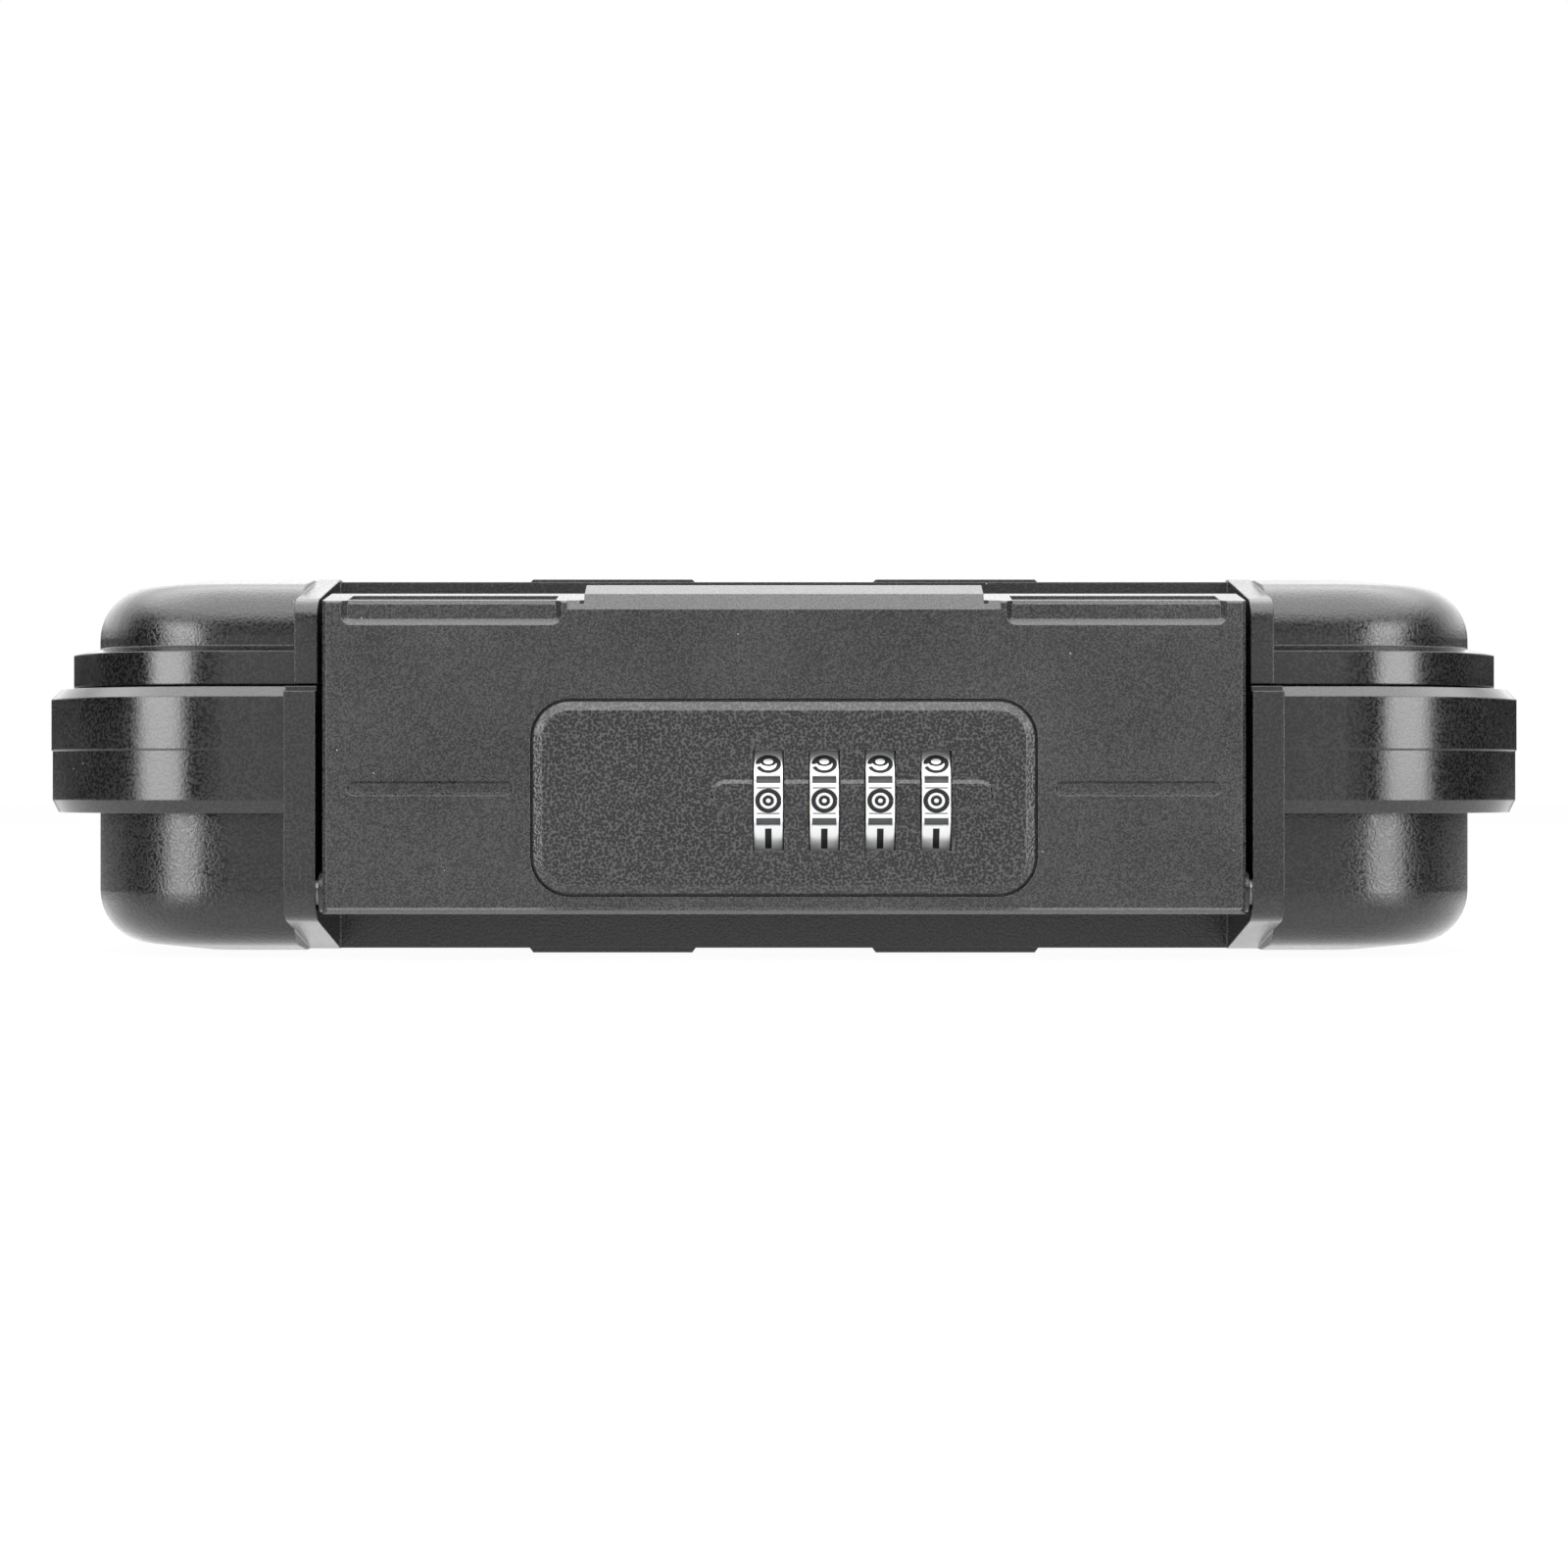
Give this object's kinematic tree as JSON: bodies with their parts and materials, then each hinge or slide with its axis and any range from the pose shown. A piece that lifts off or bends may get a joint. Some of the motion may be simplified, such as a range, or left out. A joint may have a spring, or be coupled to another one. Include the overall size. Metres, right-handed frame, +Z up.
{
  "type": "portable combination lock box",
  "caption": "Flat portable lock box with a hinged lid, closed by a wide front latch that carries a four-dial combination lock.",
  "frame": {"origin": "middle of the bounding box at its lowest height, on the ground under the pads", "axes": "+Z up, +X to the right of someone facing the lock, -Y is the front with the dials"},
  "size_m": [0.238, 0.18, 0.061],
  "materials": {
    "shell": "satin moulded charcoal ABS with a fine grain",
    "latch": "fine-grained charcoal ABS",
    "latch_rear": "plain charcoal ABS",
    "lock_face": "coarse spark-textured charcoal plastic",
    "button": "black plastic",
    "foam": "closed-cell foam sheet",
    "seal": "soft black rubber",
    "zinc_steel": "zinc-plated pressed steel",
    "pin_steel": "ground stainless pin",
    "spring_steel": "bright spring steel",
    "hub_brass": "turned brass",
    "dial_chrome": "polished chrome with black-filled digits"
  },
  "bodies": {
    "base": {"base_shell": "shell", "base_liner": "foam", "keeper_plate": "zinc_steel", "keeper_screws": "zinc_steel", "hinge_pin_left": "pin_steel", "hinge_pin_right": "pin_steel", "latch_pin_left": "pin_steel", "latch_pin_right": "pin_steel"},
    "lid": {"lid_shell": "shell", "lid_gasket": "seal", "lid_liner": "foam"},
    "latch": {"latch_cover": "latch", "latch_back": "latch_rear", "back_screws": "zinc_steel", "lock_face": "lock_face", "lock_chassis": "zinc_steel", "chassis_screws": "zinc_steel", "dial_shaft": "pin_steel", "shaft_clips": "pin_steel", "detent_comb": "spring_steel", "bar_spring": "spring_steel", "button_spring": "spring_steel"},
    "lock_bar": {"lock_bar": "zinc_steel"},
    "code_button": {"code_button": "button"},
    "dial_1": {"dial_1": "dial_chrome", "dial_hub_1": "hub_brass"},
    "dial_2": {"dial_2": "dial_chrome", "dial_hub_2": "hub_brass"},
    "dial_3": {"dial_3": "dial_chrome", "dial_hub_3": "hub_brass"},
    "dial_4": {"dial_4": "dial_chrome", "dial_hub_4": "hub_brass"}
  },
  "joints": [
    {"name": "lid_hinge", "type": "hinge", "parent": "base", "child": "lid", "pos_m": [0, 0.086, 0.04288], "axis": [-1, 0, 0], "range_deg": [0, 110]},
    {"name": "latch_pivot", "type": "hinge", "parent": "base", "child": "latch", "pos_m": [0, -0.082, 0.01085], "axis": [1, 0, 0], "range_deg": [0, 92]},
    {"name": "lock_bar_slide", "type": "slide", "parent": "latch", "child": "lock_bar", "axis": [1, 0, 0], "range_m": [-0.0022, 0]},
    {"name": "code_button_press", "type": "slide", "parent": "latch", "child": "code_button", "axis": [0, -1, 0], "range_m": [0, 0.0015], "stiffness_N_per_m": 400, "springref_m": -0.001},
    {"name": "dial_1_turn", "type": "hinge", "parent": "latch", "child": "dial_1", "pos_m": [0, -0.0798, 0.025], "axis": [1, 0, 0], "continuous": true},
    {"name": "dial_2_turn", "type": "hinge", "parent": "latch", "child": "dial_2", "pos_m": [0, -0.0798, 0.025], "axis": [1, 0, 0], "continuous": true},
    {"name": "dial_3_turn", "type": "hinge", "parent": "latch", "child": "dial_3", "pos_m": [0, -0.0798, 0.025], "axis": [1, 0, 0], "continuous": true},
    {"name": "dial_4_turn", "type": "hinge", "parent": "latch", "child": "dial_4", "pos_m": [0, -0.0798, 0.025], "axis": [1, 0, 0], "continuous": true}
  ]
}
